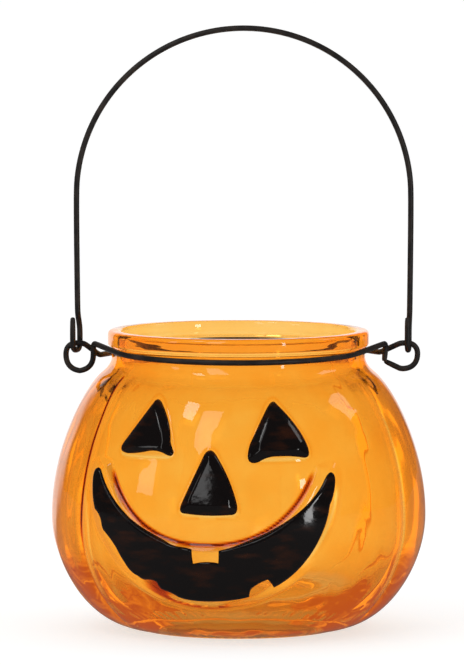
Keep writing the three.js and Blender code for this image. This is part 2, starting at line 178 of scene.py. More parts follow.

# The table top is dim in reflections too, but for the part that lies behind the object and away from
# its foot; the dim ring round the foot is a painted shadow of the jar.
bpy.ops.object.select_all(action="DESELECT")
bpy.ops.mesh.primitive_plane_add(size=FLOOR_SIZE, location=(0, 0, FLOOR_Z))
floor = bpy.context.object
floor.name = "floor"
white_paper, tree, shader = new_material("white_paper")
shader.inputs["Roughness"].default_value = 0.9
shader.inputs["Specular IOR Level"].default_value = 0.1
shader.inputs["Emission Color"].default_value = WHITE
path = tree.nodes.new("ShaderNodeLightPath").outputs
place = tree.nodes.new("ShaderNodeTexCoord").outputs["Object"]
flat = calculate_vector(tree, "MULTIPLY", place, (1, 1, 0))
from_axis = calculate_vector(tree, "LENGTH", flat)
outward = calculate_vector(tree, "NORMALIZE", flat)
towards = calculate_vector(tree, "DOT_PRODUCT", outward, BACKDROP_AXIS)
# Painted shadow: the table top darkens in reflections within this distance of the jar's axis.
away = carry_over(tree, from_axis, *FLOOR_SHADOW_R, soft=True)
behind = carry_over(tree, towards, *BACKDROP_EDGE, soft=True)
mirrored = carry_over(tree, calculate(tree, "MULTIPLY", away, behind), to_low=FLOOR_DIM)
reflecting = calculate(
    tree, "SUBTRACT", path["Is Glossy Ray"], path["Is Transmission Ray"], clamp=True)
level = carry_over(tree, reflecting, to_low=1, to_high=mirrored)
tree.links.new(blend(tree, level, BLACK, FLOOR_COLOUR), shader.inputs["Base Color"])
unlit = calculate(tree, "SUBTRACT", 1, path["Is Diffuse Ray"])
shown = calculate(tree, "MULTIPLY", unlit, level)
glow = calculate(tree, "MULTIPLY", shown, FLOOR_GLOW)
tree.links.new(glow, shader.inputs["Emission Strength"])
floor.data.materials.append(white_paper)


# Glass jar: pressed clear glass with a thick floor, a beaded lip and a ring of knurls to
# stand on. The mould gave it seven ribs, a smooth front panel and a raised face. A clear
# amber stain covers the outside, is thinner at the foot, and reaches down inside the neck.
WALL = 3.9 * MM
BODY_R = 58 * MM
SHOULDER_Z = 79.6 * MM
RIB_COUNT = 7
PANEL_ANGLE = 120
RIB_TURN = 2.7
GROOVE_DEPTH = 1.0 * MM
GROOVE_SPREAD = 3
GROOVE_FOOT = (0.8 * MM, 8 * MM)
GROOVE_TOP = (66 * MM, 80 * MM)
GROOVE_INSIDE = 0.45
FACE_TURN = -9.6
FACE_SECTOR = 86
FACE_STEPS = 172
FACE_Z = (10 * MM, 78 * MM)
FACE_REACH = 0.7
OUTLINE_STEP = 0.6 * MM
BACK_STEPS = 224
COLUMN_DRAW = 0.75
RELIEF_H = 1.4 * MM
MOUTH_BEVEL = (-0.5 * MM, 1.1 * MM)
MOUTH_BEVEL_UNDER = 1.7 * MM
MOUTH_BEVEL_ROUND = 0.3 * MM
BEVEL_START = -0.3 * MM
BEVEL_W = 1.9 * MM
BEVEL_LOW_EXTRA = 1.4 * MM
BEVEL_LOW_Z = (1.5 * MM, 5.5 * MM)
BEVEL_ROUND = 0.4 * MM
PAD_FLATNESS = 0.5
SMILE_W = 34.3 * MM
SMILE_H = 33 * MM
SMILE_Z = 55 * MM
SMILE_EDGE = (0.85, 1.15)
KNURL_ANGLE = 360 / 79
KNURL_DEPTH = 0.35 * MM
KNURL_R = 27 * MM
KNURL_Z = 2.2 * MM
KNURL_FULL_Z = 0.6 * KNURL_Z
KNURL_FADE = 0.4 * MM
FOOT_POINTS = 10
SKIN_LOW_Z = 0.3 * MM
HOLLOW_LOW_Z = 10 * MM
ON_AXIS = 1e-6
SAME_PLACE = 0.02 * MM
FLOOR_SPLIT_Z = 5 * MM
NECK_SPLIT_R = 37.5 * MM
NECK_Z = 84 * MM


def curve(points, steps):
    """Points in millimetres along a line, quadratic or cubic curve, without the first."""
    t = np.linspace(0, 1, steps + 1)[1:, None]
    order = len(points) - 1
    total = np.zeros((steps, 2))
    for i, point in enumerate(points):
        share = math.comb(order, i) * t ** i * (1 - t) ** (order - i)
        total += share * np.array(point, float)
    return total * MM


def profile_of(start, pieces):
    """One line of points from curves, each of which starts where the one before it ends."""
    line = [np.array([start], float) * MM]
    for points, steps in pieces:
        line.append(curve([start, *points], steps))
        start = points[-1]
    return np.vstack(line)


def choose(piece):
    """Selects one object alone and makes it the active one."""
    bpy.ops.object.select_all(action="DESELECT")
    bpy.context.view_layer.objects.active = piece
    piece.select_set(True)


# The profile, in millimetres from the axis and above the table: the hollow underneath,
# the flat ring that the jar stands on, the bowl, the shoulder, the neck and the lip.
outside = profile_of((0, 2.4), [
    ([(12, 2.4), (24, 0.5)], 6),
    ([(24.4, 0), (25, 0)], 2),
    ([(29.6, 0)], 2),
    ([(30.6, 0), (31.2, 0.5)], 3),
    ([(47, 1.6), (58, 20.6), (58, 35.6)], 74),
    ([(58, 55.6), (49.1, 73.8), (42.2, 79.6)], 84),
    ([(39.6, 81.6), (39.2, 84)], 6),
    ([(39.2, 87.3)], 4),
    ([(39.2, 87.8), (39.6, 87.8)], 2),
    ([(40.4, 87.9), (40.4, 88.8)], 4),
    ([(40.4, 91.3)], 3),
    ([(40.3, 92.7), (39, 92.7)], 6),
])
inside = profile_of((39, 92.7), [
    ([(37.3, 92.7)], 1),
    ([(36.3, 92.7), (36.2, 91.6)], 5),
    ([(36.2, 81.6)], 5),
    ([(36.2, 79.5), (39.7, 76.6)], 5),
    ([(46.6, 70.8), (54.1, 55.6), (54.1, 35.6)], 14),
    ([(54.1, 20.6), (42, 8), (26, 8)], 14),
    ([(0, 8)], 5),
])[1:]
profile = np.vstack([outside, inside])

# The profile stands at the left end of the face, and two copies of it are turned:
# one over the face in fine steps, the other round the back in coarser ones.
bpy.ops.object.select_all(action="DESELECT")
bpy.ops.mesh.primitive_circle_add(vertices=len(profile), radius=BODY_R)
jar = bpy.context.object
jar.name = "amber_jar"
start = math.radians(FACE_TURN - FACE_SECTOR / 2)
for vertex, (radius, z) in zip(jar.data.vertices, profile):
    vertex.co = (radius * math.sin(start), -radius * math.cos(start), z)
on_axis = {0, len(profile) - 1}
bpy.ops.object.mode_set(mode="EDIT")
bpy.ops.mesh.select_all(action="DESELECT")
bpy.ops.mesh.select_mode(type="EDGE")
bpy.ops.object.mode_set(mode="OBJECT")
for edge in jar.data.edges:
    edge.select = set(edge.vertices) == on_axis
bpy.ops.object.mode_set(mode="EDIT")
bpy.ops.mesh.delete(type="EDGE")
bpy.ops.object.mode_set(mode="OBJECT")
bpy.ops.object.duplicate()
back = bpy.context.object
for part, angle, steps in ((jar, FACE_SECTOR, FACE_STEPS), (back, FACE_SECTOR - 360, BACK_STEPS)):
    choose(part)
    turning = part.modifiers.new("turn", "SCREW")
    turning.axis = "Z"
    turning.angle = math.radians(angle)
    turning.steps = turning.render_steps = steps
    turning.use_normal_calculate = True
    bpy.ops.object.modifier_apply(modifier="turn")
choose(jar)
back.select_set(True)
bpy.ops.object.join()
bpy.ops.object.mode_set(mode="EDIT")
bpy.ops.mesh.select_all(action="SELECT")
bpy.ops.mesh.remove_doubles(threshold=SAME_PLACE)
bpy.ops.mesh.normals_make_consistent(inside=False)
bpy.ops.object.mode_set(mode="OBJECT")


# Outlines of the face, square on to it: millimetres across, and above the table.
# The raised glass has plain shapes; the enamel was brushed on them by hand.
LEFT_EYE_PAD = [
    [(-17.2, 76.6), (-15.6, 73.8)], [(-12.4, 67), (-11.3, 60)], [(-11.2, 57.8), (-13, 57.8)],
    [(-20, 57.4), (-26.4, 57.8)], [(-29, 58), (-27.6, 60.6)], [(-18.7, 74)],
]
RIGHT_EYE_PAD = [
    [(17.6, 76), (19.1, 73.6)], [(25, 68), (29, 60.4)], [(29.9, 57.6), (27.4, 57.6)],
    [(20.5, 57.2), (14, 57.4)], [(11.6, 57.5), (12.2, 60)], [(16.2, 73.2)],
]
NOSE_PAD = [
    [(0.3, 61.6), (2.1, 59.2)], [(6.6, 52), (9.1, 43.8)], [(9.6, 40.9), (7, 40.9)],
    [(0.3, 40.4), (-6.2, 40.9)], [(-9, 41.1), (-7.9, 44)], [(-1.3, 59)],
]
MOUTH_PAD = [
    [(18, 12.3), (36.9, 28), (37, 50)], [(36.8, 55.8), (31.6, 55.4)],
    [(27.5, 38.6), (15, 31.2), (0, 31.4)], [(-15, 31.2), (-27.5, 38.6), (-31.6, 55.4)],
    [(-36.8, 55.8), (-37, 50)], [(-36.9, 28), (-18, 12.3), (0, 12.3)],
]
PADS = (LEFT_EYE_PAD, RIGHT_EYE_PAD, NOSE_PAD)
LEFT_EYE = [
    [(-17.1, 75.8), (-15.6, 73.4)], [(-12.2, 67.5), (-12, 62.5)], [(-11.6, 61), (-10.9, 59.4)],
    [(-11.2, 57.6), (-13, 58.6)], [(-15.6, 60.2), (-19, 59.4)], [(-22, 58.6), (-25.6, 58.4)],
    [(-29, 59), (-27.5, 61.4)], [(-18.4, 73.6)],
]
RIGHT_EYE = [
    [(17.5, 75.6), (19, 73.6)], [(26.2, 67.2), (28.7, 61)], [(30, 57.4), (27.6, 57.8)],
    [(24, 58.6), (20.6, 58.4)], [(17.6, 58.6), (15.2, 56.8)], [(12, 55.6), (11.7, 58.6)],
    [(11.8, 61.6), (12.8, 63.6)], [(16.3, 72.8)],
]
NOSE = [
    [(0.3, 61.4), (2.1, 59.2)], [(7.4, 51.5), (9.2, 43.8)], [(9.6, 40.9), (7, 41)],
    [(0.3, 40.4), (-6.2, 41.2)], [(-9, 41.1), (-7.9, 44)], [(-1.3, 59)],
]
MOUTH = [
    [(-6.8, 31.5), (-9.3, 30.8), (-12.1, 32.6)], [(-16.5, 34.8), (-20.5, 36.4), (-24.3, 39.7)],
    [(-28.5, 43.6), (-31.8, 47.6), (-33.6, 52.7)], [(-34.4, 54.2), (-35.6, 53.2)],
    [(-36.6, 52), (-36.4, 47)], [(-36.3, 43.4), (-35.3, 40.8)], [(-34.2, 40.6), (-33.2, 38)],
    [(-32.7, 35.1), (-32.1, 34.7)], [(-29.6, 32.2), (-28.1, 29.8)],
    [(-26.9, 27.4), (-25.3, 25)], [(-23.8, 22.3), (-21.5, 21.4)], [(-19.9, 20), (-18.6, 20.4)],
    [(-16.8, 20.5), (-15.6, 19.8)], [(-15, 18), (-14, 17.4)], [(-11.2, 16.6), (-9.4, 15.3)],
    [(-6, 13.5), (5, 13.6), (11.8, 15.6)], [(12.1, 18.2), (13.2, 18.7)],
    [(15, 20.2), (17.5, 21.1)], [(18.3, 20.4), (19.1, 18.5)],
    [(28, 23), (34.2, 33.5), (35, 43.6)], [(36, 46), (36.2, 49.3)],
    [(36.4, 53.2), (34.8, 53.3)], [(33.9, 52.9), (33, 50.2)],
    [(29.6, 42.2), (20.4, 36.2), (12, 33.1)], [(8, 31.2), (3.7, 30.3)],
    [(3.7, 28.5), (3.5, 26.4)], [(0, 27.2), (-4, 26.1)], [(-4.4, 28), (-4.3, 30.5)],
]


def outline(curves):
    """Points of a closed outline, about evenly spaced; each curve starts where the last ends."""
    points = []
    start = curves[-1][-1]
    for controls in curves:
        controls = [start, *controls]
        length = np.linalg.norm(np.diff(np.array(controls), axis=0), axis=1).sum() * MM
        points.append(curve(controls, max(1, round(length / OUTLINE_STEP))))
        start = controls[-1]
    return np.vstack(points)


def depth_inside(places, border):
    """How far each place lies inside a closed border; less than nothing outside it."""
    start = border
    step = np.roll(border, -1, axis=0) - border
    away = places[:, None, :] - start[None, :, :]
    share = np.clip((away * step).sum(2) / (step ** 2).sum(1), 0, 1)
    near = np.linalg.norm(away - share[:, :, None] * step, axis=2).min(1)
    end = start + step
    spans = (start[:, 1] > places[:, 1:2]) != (end[:, 1] > places[:, 1:2])
    rise = np.where(step[:, 1] == 0, 1, step[:, 1])
    crossing = start[:, 0] + (places[:, 1:2] - start[:, 1]) / rise * step[:, 0]
    inside_it = (spans & (places[:, 0:1] < crossing)).sum(1) % 2 == 1
    return np.where(inside_it, near, -near)


def smooth(low, high, value):
    share = np.clip((value - low) / (high - low), 0, 1)
    return share * share * (3 - 2 * share)


def groove_gap(azimuth, groove, aside=0):
    """Degrees between places on the jar and a groove, or a line some degrees beside it."""
    turn = RIB_TURN + PANEL_ANGLE / 2 + groove * (360 - PANEL_ANGLE) / RIB_COUNT + aside
    gap = np.abs(azimuth - turn) % 360
    return np.minimum(gap, 360 - gap)


def groove_depth(azimuth, z):
    """How far the grooves between the ribs draw the skin in."""
    away = np.min([groove_gap(azimuth, groove) for groove in range(RIB_COUNT + 1)], axis=0)
    ends = smooth(*GROOVE_FOOT, z) * (1 - smooth(*GROOVE_TOP, z))
    return GROOVE_DEPTH * np.exp(-away / GROOVE_SPREAD) * ends


def bevel(low, high, soft, value):
    """A straight slope from 0 to 1 whose two ends are rounded, as on pressed glass."""
    def bend(gap):
        return np.where(np.abs(gap) < soft, (gap + soft) ** 2 / (4 * soft), np.maximum(gap, 0))
    return (bend(value - low) - bend(value - high)) / (high - low)


def under_mouth(places):
    """0 above the middle line of the mouth and 1 below it and at its sides."""
    across, up = places.T
    return smooth(*SMILE_EDGE, (across / SMILE_W) ** 2 + ((up - SMILE_Z) / SMILE_H) ** 2)


def bevel_width(border, height):
    """Width of the slope round a raised triangle, which is wider along its lower edge."""
    above = height - border[:, 1].min()
    return BEVEL_W + BEVEL_LOW_EXTRA * (1 - smooth(*BEVEL_LOW_Z, above))


def relief(places):
    """Height of the raised glass at places on the face, across and above the table."""
    low = MOUTH_BEVEL[0] - MOUTH_BEVEL_UNDER * under_mouth(places)
    depth = depth_inside(places, outline(MOUTH_PAD))
    height = RELIEF_H * bevel(low, MOUTH_BEVEL[1], MOUTH_BEVEL_ROUND, depth)
    for pad in PADS:
        border = outline(pad)
        away = places - (border.min(0) + border.max(0)) / 2
        flatter = PAD_FLATNESS * (away ** 2).sum(1) / (2 * BODY_R)
        width = bevel_width(border, places[:, 1])
        rise = bevel(BEVEL_START, width, BEVEL_ROUND, depth_inside(places, border))
        height = np.maximum(height, (RELIEF_H + flatter) * rise)
    return height


def on_face(radius, azimuth, z):
    """Which places lie on or beside the face, and where these are, square on to it."""
    turn = np.radians(azimuth - FACE_TURN)
    near = (np.cos(turn) > FACE_REACH) & (z > FACE_Z[0]) & (z < FACE_Z[1])
    return near, np.column_stack([radius * np.sin(turn), z])[near]


def places_of(parts, field):
    """Where the vertices or faces of a mesh are, one row of x, y and z for each."""
    places = np.empty(len(parts) * 3)
    parts.foreach_get(field, places)
    return places.reshape(-1, 3)


mesh = jar.data
place = places_of(mesh.vertices, "co")
radius = np.hypot(place[:, 0], place[:, 1])
azimuth = np.degrees(np.arctan2(place[:, 0], -place[:, 1]))
z = place[:, 2]

# The columns of faces round the back are drawn together at the grooves.
pitch = (360 - PANEL_ANGLE) / RIB_COUNT
behind = (azimuth - RIB_TURN - PANEL_ANGLE / 2) % 360
ribbed = behind < 360 - PANEL_ANGLE
part_rib = behind / pitch - np.round(behind / pitch)
drawn = part_rib * (1 - COLUMN_DRAW) + 4 * COLUMN_DRAW * part_rib ** 3
azimuth = np.where(ribbed, azimuth + pitch * (drawn - part_rib), azimuth)
place[:, 0] = radius * np.sin(np.radians(azimuth))
place[:, 1] = -radius * np.cos(np.radians(azimuth))
bowl_z, bowl_r = outside[FOOT_POINTS:, 1], outside[FOOT_POINTS:, 0]
middle_r = np.interp(z, bowl_z, bowl_r) - WALL / 2
skin = (radius > middle_r) & (z > SKIN_LOW_Z) & (z < SHOULDER_Z)
near, square_on = on_face(radius, azimuth, z)
raised = np.zeros_like(radius)
raised[near] = relief(square_on)
moved = radius.copy()
moved[skin] -= groove_depth(azimuth[skin], z[skin])
moved[skin] += raised[skin]
hollow = (radius < middle_r) & (z > HOLLOW_LOW_Z) & (z < SHOULDER_Z)
moved[hollow] -= GROOVE_INSIDE * groove_depth(azimuth[hollow], z[hollow])
foot = (radius > KNURL_R) & (z < KNURL_Z)
knurl = np.abs(np.sin(np.radians(azimuth) * 180 / KNURL_ANGLE))
fade = smooth(0, KNURL_FADE, z) * (1 - smooth(KNURL_FULL_Z, KNURL_Z, z))
moved[foot] -= (KNURL_DEPTH * (1 - knurl) * fade)[foot]
scale = np.where(radius > ON_AXIS, moved / np.maximum(radius, ON_AXIS), 1)
place[:, 0] *= scale
place[:, 1] *= scale
mesh.vertices.foreach_set("co", place.ravel())
mesh.update()
mesh.polygons.foreach_set("use_smooth", [True] * len(mesh.polygons))


def between(rise, fall, value):
    """1 between two soft steps, each given by where it starts and ends, and 0 outside them."""
    return smooth(*rise, value) * (1 - smooth(*fall, value))


def soft_line(middle, width, value):
    """1 where the value is the middle one, fading away on both sides of it over a width."""
    return np.exp(-((value - middle) / width) ** 2)


# Painted shade and painted highlight on the glass. Dark lines in some of the grooves and along the
# foot of the relief are painted shade, with values above 0; pale lines along other grooves and edges
# are painted highlights, with values below 0.
GROOVE_SHADE = {1: 0.3, 2: 0.3, 5: 0.2, 6: 0.3, 7: 1.4}
GROOVE_SHADE_EDGE = (0.1, 0.75)
GROOVE_SHADE_Z = (6 * MM, 20 * MM)
RIGHT_GROOVE, LEFT_GROOVE = 0, RIB_COUNT
LEFT_GROOVE_SHADE_Z = (24 * MM, 40 * MM)
ARC_SHADE = 1.25
ARC_LINE = (-0.4 * MM, 0.45 * MM)
ARC_TIP_Z = (50 * MM, 54 * MM)
UNDER_SHADE = 0.8
UNDER_LINE = (-0.9 * MM, -0.2 * MM)
UNDER_X = ((-21 * MM, -16 * MM), (3 * MM, 7 * MM))
UNDER_COATED = (0.1 * MM, 0.5 * MM)
UNDER_COATED_X = (-14 * MM, -10 * MM)
PAD_SHADE = 0.1
PAD_LINE = (-0.7 * MM, 0.35 * MM)
PAINTED_HIGHLIGHT = 0.22
LEAST_HIGHLIGHT = 0.02
HIGHLIGHT_EDGE = (0.3, 1.1)
HIGHLIGHT_GROOVES = (
    (RIGHT_GROOVE, 0, (8 * MM, 14 * MM), (64 * MM, 74 * MM)),
    (LEFT_GROOVE, 4.5, (5 * MM, 12 * MM), (36 * MM, 50 * MM)),
)
BOW_Z = ((6 * MM, 14 * MM), (34 * MM, 54 * MM))
GLINT_W = 0.6 * MM
GLINT_UNDER_X = ((-13 * MM, -9 * MM), (2 * MM, 6 * MM))
GLINT_UNDER_DEPTH = 0.8 * MM
GLINT_SIDE_X = (26 * MM, 31 * MM)
GLINT_SIDE_Z = (46 * MM, 50 * MM)
GLINT_SIDE_DEPTH = -0.2 * MM
GLINT_PAD_Z = (0.5 * MM, 2 * MM)
GLINT_PAD_DEPTH = 0.1 * MM

# Painted shade in the grooves: the stain shows deeper and darker along these lines.
shade_and_highlight = np.zeros(len(z))
for groove, share in GROOVE_SHADE.items():
    line = 1 - smooth(*GROOVE_SHADE_EDGE, groove_gap(azimuth, groove))
    foot_z = LEFT_GROOVE_SHADE_Z if groove == LEFT_GROOVE else GROOVE_SHADE_Z
    shade_and_highlight = np.maximum(shade_and_highlight, share * line * smooth(*foot_z, z))
# Painted highlight: paler, thinner stain along two front grooves.
highlight = np.zeros(len(z))
for groove, bow, foot_z, top_z in HIGHLIGHT_GROOVES:
    line = 1 - smooth(*HIGHLIGHT_EDGE, groove_gap(azimuth, groove, bow * between(*BOW_Z, z)))
    highlight = np.maximum(highlight, PAINTED_HIGHLIGHT * line * between(foot_z, top_z, z))
near &= skin
across, up = (radius * np.sin(np.radians(azimuth - FACE_TURN)))[near], z[near]
square_on = np.column_stack([across, up])
foot_line = depth_inside(square_on, outline(MOUTH_PAD))
lower_side = under_mouth(square_on)
# Painted shade along the foot of the mouth's relief: arcs above the mouth and a crescent below it.
arcs = ARC_SHADE * soft_line(*ARC_LINE, foot_line) * (1 - lower_side) * (1 - smooth(*ARC_TIP_Z, up))
under = UNDER_SHADE * smooth(*UNDER_LINE, foot_line) * lower_side * between(*UNDER_X, across)
under *= 1 - smooth(*UNDER_COATED, foot_line) * smooth(*UNDER_COATED_X, across)
shade_and_highlight[near] = np.maximum(shade_and_highlight[near], np.maximum(arcs, under))
# Painted highlight: pale lines along the foot of the mouth's relief, below it and beside it.
under = between(*GLINT_UNDER_X, across)
beside = smooth(*GLINT_SIDE_X, across) * (1 - smooth(*GLINT_SIDE_Z, up))
for share, depth in ((under, GLINT_UNDER_DEPTH), (beside, GLINT_SIDE_DEPTH)):
    glint = share * lower_side * soft_line(depth, GLINT_W, foot_line)
    highlight[near] = np.maximum(highlight[near], PAINTED_HIGHLIGHT * glint)
for pad in PADS:
    border = outline(pad)
    foot_line = depth_inside(square_on, border)
    # Painted shade: a thin dark line round the foot of each raised part.
    shade_and_highlight[near] = np.maximum(shade_and_highlight[near], PAD_SHADE * soft_line(*PAD_LINE, foot_line))
    # Painted highlight: a pale line along the lower foot of each raised part.
    above = up - border[:, 1].min()
    glint = (1 - smooth(*GLINT_PAD_Z, above)) * soft_line(GLINT_PAD_DEPTH, GLINT_W, foot_line)
    highlight[near] = np.maximum(highlight[near], PAINTED_HIGHLIGHT * glint)
# Painted highlights are kept below 0 and painted shade above 0.
shade_and_highlight = np.where(highlight > LEAST_HIGHLIGHT, -highlight, shade_and_highlight)
shade_and_highlight[~skin] = 0
mesh.attributes.new("painted_shade_and_highlight", "FLOAT", "POINT").data.foreach_set("value", shade_and_highlight)


def new_group(name, inputs, outputs):
    """An empty node group with named sockets, and its two end nodes."""
    group = bpy.data.node_groups.new(name, "ShaderNodeTree")
    for socket, kind in inputs:
        group.interface.new_socket(socket, in_out="INPUT", socket_type="NodeSocket" + kind)
    for socket, kind in outputs:
        group.interface.new_socket(socket, in_out="OUTPUT", socket_type="NodeSocket" + kind)
    return group, group.nodes.new("NodeGroupInput"), group.nodes.new("NodeGroupOutput")


def noise(tree, place, scale, detail):
    """Soft blotches, 0 to 1, at a scale of so many to a metre."""
    node = tree.nodes.new("ShaderNodeTexNoise")
    sockets = (node.inputs["Vector"], node.inputs["Scale"], node.inputs["Detail"])
    feed(tree, sockets, (place, scale, detail))
    return node.outputs["Fac"]


def stretched(tree, place, scale, turn=(0, 0, 0)):
    """Places turned and drawn out along the axes, for a pattern that runs one way."""
    node = tree.nodes.new("ShaderNodeMapping")
    sockets = (node.inputs["Vector"], node.inputs["Rotation"], node.inputs["Scale"])
    feed(tree, sockets, (place, turn, scale))
    return node.outputs["Vector"]


def dent(tree, shader, height, strength, distance):
    """Gives the skin of a material fine dents."""
    node = tree.nodes.new("ShaderNodeBump")
    sockets = (node.inputs["Height"], node.inputs["Strength"], node.inputs["Distance"])
    feed(tree, sockets, (height, strength, distance))
    tree.links.new(node.outputs["Normal"], shader.inputs["Normal"])


# The stain: its colour changes up the jar, and its thickness drifts all over.
STAIN_DRIFT = 5 * MM
NOISE_RANGE = (0.3, 0.7)
THICKNESS_RANGE = (0.88, 1.1)
UNDERSIDE_R = (25 * MM, 28 * MM)
FOOT_STAIN_Z = (2 * MM, 6 * MM)
NECK_STAIN_Z = (76 * MM, 89 * MM)
# Painted shade on light mirrored inside the glass: full low down, fading to a share of it at the neck.
THROWN_SHADE_UP_TO = (80 * MM, 86 * MM)
THROWN_SHADE_AT_NECK = 0.25

stain, given, made = new_group(
    "glass_stain",
    [("Foot", "Color"), ("Body", "Color"), ("Neck", "Color")],
    [("Colour", "Color"), ("Thickness", "Float"), ("Thrown shade", "Float")])
place = stain.nodes.new("ShaderNodeTexCoord").outputs["Object"]
axes = stain.nodes.new("ShaderNodeSeparateXYZ")
stain.links.new(place, axes.inputs[0])
height = axes.outputs["Z"]
blotches = noise(stain, place, scale=38, detail=2)
drifted = calculate(stain, "MULTIPLY_ADD", blotches, STAIN_DRIFT, height)
flat = calculate_vector(stain, "MULTIPLY", place, (1, 1, 0))
from_axis = calculate_vector(stain, "LENGTH", flat)
underneath = carry_over(stain, from_axis, *UNDERSIDE_R, to_low=FOOT_STAIN_Z[1], to_high=0)
raised = calculate(stain, "ADD", drifted, underneath)
colour = given.outputs["Foot"]
for edge, above in ((FOOT_STAIN_Z, "Body"), (NECK_STAIN_Z, "Neck")):
    change = carry_over(stain, raised, *edge, soft=True)
    colour = blend(stain, change, colour, given.outputs[above])
drift = noise(stain, place, scale=90, detail=3)
thickness = carry_over(stain, drift, *NOISE_RANGE, *THICKNESS_RANGE)
# How much painted shade falls on light mirrored inside the glass, by height.
thrown_shade = carry_over(stain, height, *THROWN_SHADE_UP_TO, to_low=1, to_high=THROWN_SHADE_AT_NECK, soft=True)
feed(stain, made.inputs, (colour, thickness, thrown_shade))

# The skin: slow waves that run up the jar, left by the mould, and a fine orange peel.
skin_form, given, made = new_group(
    "glass_skin",
    [("Waves", "Float"), ("Peel", "Float")],
    [("Height", "Float"), ("Roughness", "Float")])
place = skin_form.nodes.new("ShaderNodeTexCoord").outputs["Object"]
slow = noise(skin_form, stretched(skin_form, place, (1, 1, 0.35)), scale=95, detail=1)
fine = noise(skin_form, place, scale=420, detail=1)
waves = calculate(skin_form, "MULTIPLY", slow, given.outputs["Waves"])
height = calculate(skin_form, "MULTIPLY_ADD", fine, given.outputs["Peel"], waves)
wear = noise(skin_form, place, scale=130, detail=3)
roughness = carry_over(skin_form, wear, to_low=0.005, to_high=0.035)
feed(skin_form, made.inputs, (height, roughness))

# Light that is thrown about inside the thick glass: amber, in folds, and browner low down.
DEEP_BELOW_Z = (12 * MM, 30 * MM)

inner_light, given, made = new_group(
    "glass_inner_light", [("Deep", "Color"), ("Pale", "Color")], [("Colour", "Color")])
place = inner_light.nodes.new("ShaderNodeTexCoord").outputs["Object"]
axes = inner_light.nodes.new("ShaderNodeSeparateXYZ")
inner_light.links.new(place, axes.inputs[0])
folds = noise(inner_light, stretched(inner_light, place, (1, 1, 4)), scale=60, detail=3)
lift = carry_over(inner_light, axes.outputs["Z"], *DEEP_BELOW_Z, to_low=-0.14, to_high=0.3)
spread = carry_over(inner_light, calculate(inner_light, "ADD", folds, lift), low=0.35, high=0.65)
colour = blend(inner_light, spread, given.outputs["Deep"], given.outputs["Pale"])
inner_light.links.new(colour, made.inputs["Colour"])


# Bounces of a ray: thrown light has been mirrored once, and trapped light four times. There the
# renderer gives a ray up, so the inner light stands in for what it would have gone on to meet.
THROWN = 0.5
TRAPPED = 3.5
THROWN_SHADE_TINT = (0.52, 0.38, 0.28, 1)
INNER_DEEP = (0.28, 0.075, 0.009, 1)
INNER_PALE = (0.72, 0.35, 0.05, 1)
SLANT_DEPTH = 0.55
# How far painted shade deepens the stain, and the colour that it darkens towards.
SHADE_DEPTH = 4
SHADE_TINT = (0.02, 0.02, 0.02, 1)
PEEL = 0.012


def place_group(tree, group, *values):
    """The outputs of a node group placed in a material with values of its own."""
    node = tree.nodes.new("ShaderNodeGroup")
    node.node_tree = group
    feed(tree, node.inputs, values)
    return node.outputs


def stained_glass(name, foot, body, neck, waves):
    """Clear shiny glass with a stain; the longer light runs in it, the deeper the stain shows."""
    material, tree, shader = new_material(name)
    shader.inputs["Transmission Weight"].default_value = 1
    shader.inputs["IOR"].default_value = 1.5
    shader.inputs["Emission Strength"].default_value = 1
    coating = place_group(tree, stain, (*foot, 1), (*body, 1), (*neck, 1))
    form = place_group(tree, skin_form, waves, PEEL)
    lit = place_group(tree, inner_light, INNER_DEEP, INNER_PALE)
    bounces = tree.nodes.new("ShaderNodeLightPath").outputs["Glossy Depth"]

    slant = tree.nodes.new("ShaderNodeLayerWeight")
    slant.inputs["Blend"].default_value = 0.5
    slanting = carry_over(tree, slant.outputs["Facing"], high=0.8, to_high=SLANT_DEPTH)
    run = calculate(tree, "ADD", coating["Thickness"], slanting)
    # Painted shade and painted highlight from the mesh: the stain shows deeper and darker along
    # painted shade lines, and thinner and paler along painted highlights.
    shade_marks = tree.nodes.new("ShaderNodeAttribute")
    shade_marks.attribute_name = "painted_shade_and_highlight"
    shaded_run = calculate(tree, "MULTIPLY_ADD", shade_marks.outputs["Fac"], SHADE_DEPTH, run)
    deepened = tree.nodes.new("ShaderNodeGamma")
    feed(tree, deepened.inputs, (coating["Colour"], shaded_run))
    # Painted shade: light mirrored once inside the glass takes a darker, browner colour, partly for
    # its longer run through the stain and partly standing in for the darker light in the thick base.
    thrown = calculate(tree, "GREATER_THAN", bounces, THROWN)
    thrown_shade = calculate(tree, "MULTIPLY", thrown, coating["Thrown shade"])
    thrown_shaded = blend(tree, thrown_shade, deepened.outputs[0], THROWN_SHADE_TINT, "MULTIPLY")
    shaded = blend(tree, shade_marks.outputs["Fac"], thrown_shaded, SHADE_TINT, "MULTIPLY")
    tree.links.new(shaded, shader.inputs["Base Color"])

    dent(tree, shader, form["Height"], strength=0.5, distance=1 * MM)
    tree.links.new(form["Roughness"], shader.inputs["Roughness"])
    trapped = calculate(tree, "GREATER_THAN", bounces, TRAPPED)
    inner_glow = blend(tree, trapped, BLACK, lit["Colour"])
    tree.links.new(inner_glow, shader.inputs["Emission Color"])
    return material


